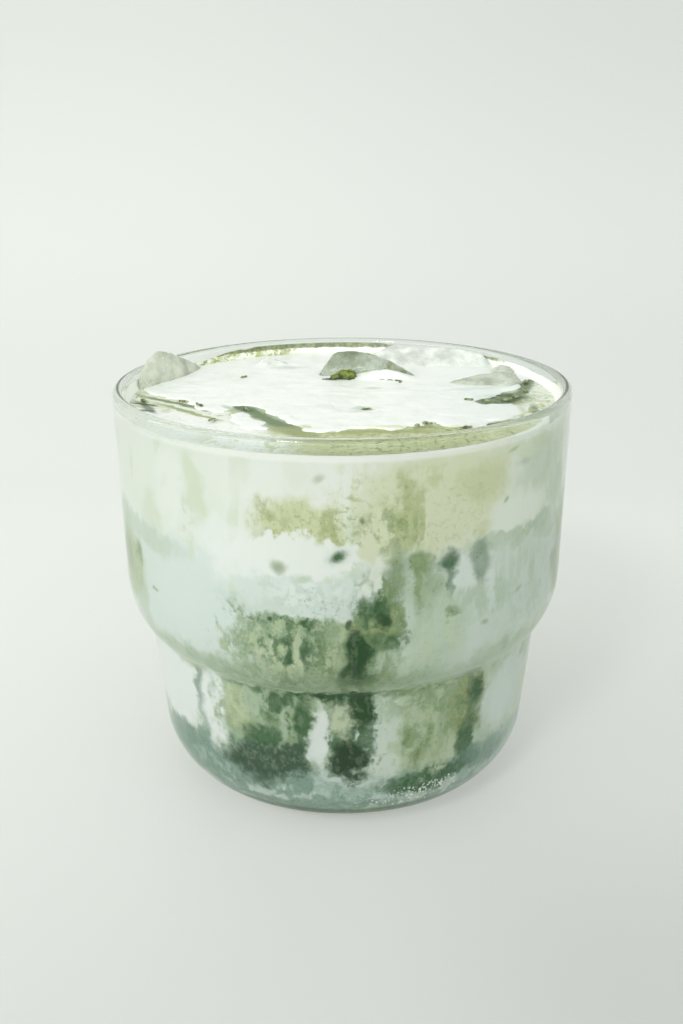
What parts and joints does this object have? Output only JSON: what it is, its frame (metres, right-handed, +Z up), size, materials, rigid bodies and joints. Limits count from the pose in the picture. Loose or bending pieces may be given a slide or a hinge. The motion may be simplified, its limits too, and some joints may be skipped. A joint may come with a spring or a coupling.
{
  "type": "iced mugwort latte in a glass",
  "caption": "Iced green and white latte filling a stepped stacking glass, with a lobed layer of milk cream on top and ice lumps breaking through it.",
  "frame": {"origin": "centre of the glass's flat foot, on the surface it stands on", "axes": "+Z up along the glass's axis, -Y towards the front of the drink, +X to its right"},
  "size_m": [0.088, 0.088, 0.0836],
  "materials": {
    "clear_glass": "clear pressed glass with a fire-polished lip, faintly green at the edges",
    "mugwort_latte": "opaque milky drink marbled from near-black green through olive to white, wet",
    "milk_cream": "smooth white poured cream, soft sheen",
    "ice": "cloudy wet ice with melted edges"
  },
  "bodies": {
    "root": {"glass": "clear_glass", "drink": "mugwort_latte", "cream": "milk_cream", "ice_centre": "ice", "ice_left": "ice", "ice_right": "ice", "ice_back": "ice", "ice_tip_left": "ice", "ice_tip_right": "ice"}
  },
  "joints": []
}
